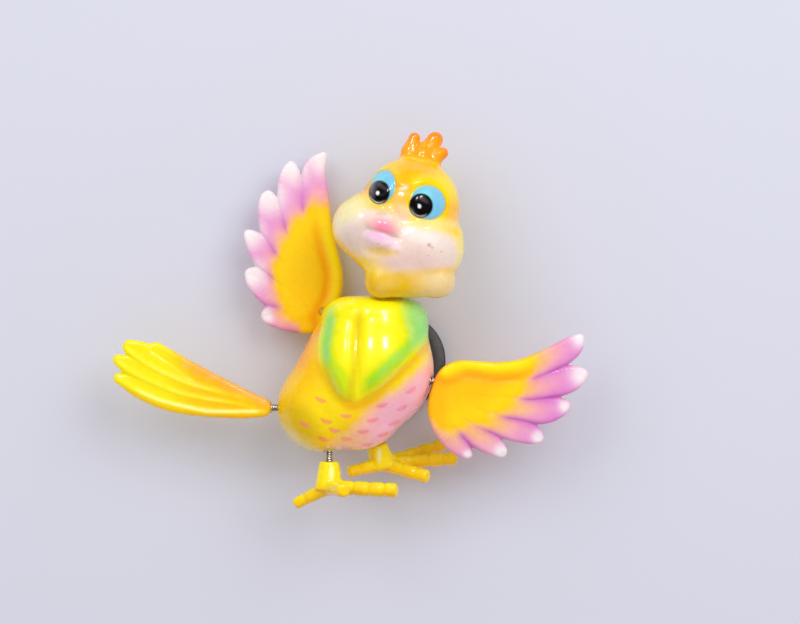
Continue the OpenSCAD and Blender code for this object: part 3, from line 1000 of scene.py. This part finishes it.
# Each foot: its toes are (end, end radius, depth of the nicks), and it has a base colour, a painted shade for
# the faces turned down and a painted light for the faces turned up and round the ankle
FEET = {
    "left_foot": {
        "limb": "left_leg", "ankle": (-13.4, -15.5, -19.8), "sole": (-13.5, -15.5, -24.9),
        "toes": [((-10.5, -24, -25), 1.3, 0.04), ((-0.6, -19.6, -25.3), 1.4, 0.2),
                 ((-3.4, -14, -25.5), 1.15, 0.2), ((-19.8, -13.4, -28.2), 1.1, 0.16)],
        "colours": ((255, 214, 4), (240, 170, 10), (255, 238, 20)),
        "box": ((-22, -27.2, -30.4), (2.4, -11, -18.6))},
    "right_foot": {
        "limb": "right_leg", "ankle": (-4, -7.2, -16.8), "sole": (-2.8, -6.4, -20.8),
        "toes": [((9.3, -1.9, -17.2), 1.2, 0.2), ((11.5, -6.4, -19.7), 1.3, 0.2),
                 ((5.8, -11, -23), 1.3, 0.12), ((-9.3, -9.4, -22.2), 1.1, 0.16)],
        "colours": ((255, 216, 0), (255, 176, 0), (255, 236, 10)),
        "box": ((-12, -14, -25.6), (13.4, 0.6, -14.8))}}


def foot_paint(p, n, foot):
    x, _, z = p
    ankle = foot["ankle"]
    base, shade, painted_light = foot["colours"]
    wave = ripple(p, 3, 5)
    paint = Paint(len(x), base)
    # painted light on the faces turned up and round the ankle, and painted shade on the faces turned down
    paint.spray(painted_light, 0.8 * step(0.2, 0.9, n[2] + 0.2 * wave))
    paint.spray(painted_light, 0.8 * step(5.6, 4, np.hypot(x - ankle[0], z - ankle[2])))
    paint.spray(shade, 0.75 * step(0.1, -0.9, n[2] + 0.2 * wave))
    # pale streak where the enamel on the ankle catches the light
    streak = blot(p, (ankle[0] + 0.5, ankle[2] - 2.2), (0.5, 1.5), 0, 0.7)
    paint.spray((255, 255, 190), 0.8 * streak * step(0, -0.5, n[1]))
    return paint


# ---- Scene ----

gloss = painted_resin("resin_gloss", 0.28, 0.5, 0.015, 0.35)
satin = painted_resin("resin_satin", 0.42, 0.15, 0.02, 0.2)
steel = spring_steel()

body_box = (-24.6, -27.3, -19.2), (8.2, -2.6, 13.8)
head_box = (-14, -28.4, 11.6), (14.6, -4, 47)
tail_box = (-58.5, -16.4, -13.6), (-23.6, -9.6, 6.4)
casting("body", body_shape, body_paint, body_box, COARSE, gloss, "body_paint")
casting("head", head_shape, head_paint, head_box, COARSE, gloss, "head_paint")
for wing in (RIGHT_WING, LEFT_WING):
    casting(wing["limb"], wing_shape, wing_paint, wing["box"], FINE, satin, "wing_paint", wing)
casting("tail", tail_shape, tail_paint, tail_box, FINE, gloss, "tail_paint")
for name, foot in FEET.items():
    casting(name, foot_shape, foot_paint, foot["box"], FINE, gloss, "foot_paint", foot)

LIMBS = {"neck": "head", "left_wing": "left_wing", "right_wing": "right_wing", "tail": "tail",
         "left_leg": "left_foot", "right_leg": "right_foot"}
glue = clear_glue("clear_glue", (0.9, 0.66, 0.16), 0.15)
springs = []
for limb, child in LIMBS.items():
    springs += make_spring(limb, child, steel)
    make_glue(child + "_glue_ring", [glue_ring(limb, LIMB_SIDE)], child, child + "_glue", glue)
body_rings = [glue_ring(limb, BODY_SIDE) for limb in SPRINGS]
make_glue("body_glue_rings", body_rings, "body", "body_spring_glue", glue)

# magnet with worn round edges, and the flattened blob of glue that holds it
edge_steps = 6
lower = [(0.01, 0.0)]
for i in range(edge_steps + 1):
    angle = math.pi / 2 * i / edge_steps
    lower.append((MAGNET_R - MAGNET_EDGE * (1 - math.sin(angle)), MAGNET_EDGE * (1 - math.cos(angle))))
magnet_profile = lower + [(out, MAGNET_T - rise) for out, rise in reversed(lower)]
magnet = new_object("magnet_disc", *lathe(magnet_profile, (0, 0, 0), (0, -1, 0), 160))
attach(magnet, ferrite(), "body", "magnet")

pad_profile = [(0.01, 0.0), (4.6, 0.0), (4.95, 0.06), (5, 0.15), (4.95, 0.24), (4.6, 0.3), (0.01, 0.3)]
pad_middle = (-3.8, -MAGNET_T, -1.5)
pad = new_object("magnet_glue_pad", *lathe(pad_profile, pad_middle, (0, -1, 0), 90, 0.012))
attach(pad, clear_glue("pad_glue", (0.8, 0.76, 0.66), 0.3), "body", "magnet_glue")


# ---- Stage, light and camera ----

def panel(name, centre, size, energy, colour=(1, 1, 1)):
    """Soft square light that faces the bird. Its place and size are in millimetres."""
    aim = (-8, -13, 8)
    data = bpy.data.lights.new(name, "AREA")
    data.shape = "RECTANGLE"
    data.size, data.size_y = size[0] * MM, size[1] * MM
    data.energy = energy
    data.color = colour
    lamp = bpy.data.objects.new(name, data)
    lamp.location = [c * MM for c in centre]
    toward = Vector([(a - c) * MM for a, c in zip(aim, centre)])
    lamp.rotation_euler = toward.to_track_quat("-Z", "Y").to_euler()
    bpy.context.scene.collection.objects.link(lamp)
    return lamp


world = bpy.data.worlds.new("studio")
world.use_nodes = True
put(world.node_tree.nodes["Background"], {"Color": (0.99, 0.96, 0.97, 1), "Strength": 0.74})
world.cycles_visibility.glossy = False
bpy.context.scene.world = world
bpy.context.scene.view_settings.view_transform = "Standard"


def one_sided_floor():
    """The pale surface that the magnet lies on. Seen from behind it is clear, so the back shows."""
    half = 400
    corners = [(x * half, FLOOR_Y, z * half) for x, z in ((-1, -1), (1, -1), (1, 1), (-1, 1))]
    floor = new_object("floor", corners, [(0, 1, 2, 3)])
    material, tree, shader = nodes_of("floor")
    put(shader, {"Base Color": (0.625, 0.635, 0.715, 1), "Roughness": 0.7, "Specular IOR Level": 0.2})
    clear = tree.nodes.new("ShaderNodeBsdfTransparent")
    side = tree.nodes.new("ShaderNodeNewGeometry")
    mix = tree.nodes.new("ShaderNodeMixShader")
    tree.links.new(side.outputs["Backfacing"], mix.inputs[0])
    tree.links.new(shader.outputs[0], mix.inputs[1])
    tree.links.new(clear.outputs[0], mix.inputs[2])
    tree.links.new(mix.outputs[0], tree.nodes["Material Output"].inputs["Surface"])
    floor.data.materials.append(material)
    return floor


floor = one_sided_floor()
bare_metal = bpy.data.collections.new("bare_metal")
for piece in [*springs, magnet]:
    bare_metal.objects.link(piece)
through_floor = bpy.data.collections.new("blocks_back_light")
through_floor.objects.link(floor)
through_floor.collection_objects[0].light_linking.link_state = "EXCLUDE"

# two wide soft lamps light the colours, and two small ones beside them give the highlights
for side, energy in ((-1, 0.7), (1, 1.12)):
    wide = panel("wide", (side * 250, -400, 250), (340, 340), energy, (0.93, 0.955, 1))
    wide.visible_glossy = False
    small = panel("small", (side * 150, -360, 330), (90, 90), 0.75)
    small.visible_diffuse = False
# a broad panel that only the bare metal and the magnet reflect
sheen = panel("sheen", (40, -460, 150), (420, 420), 1.6)
sheen.visible_diffuse = False
sheen.light_linking.receiver_collection = bare_metal
back = panel("back", (-20, 420, 8), (220, 220), 0.35)
back.visible_glossy = False
back.light_linking.blocker_collection = through_floor

camera_data = bpy.data.cameras.new("camera")
camera_data.lens = 120
camera_data.sensor_width = 36
camera = bpy.data.objects.new("camera", camera_data)
frame_width = 160
middle_x, middle_y, middle_z = 0.7, -14, 10
distance = frame_width * camera_data.lens / camera_data.sensor_width
camera.location = (middle_x * MM, (middle_y - distance) * MM, middle_z * MM)
camera.rotation_euler = (math.pi / 2, 0, 0)
camera_data.clip_start = 0.01
bpy.context.scene.collection.objects.link(camera)
bpy.context.scene.camera = camera
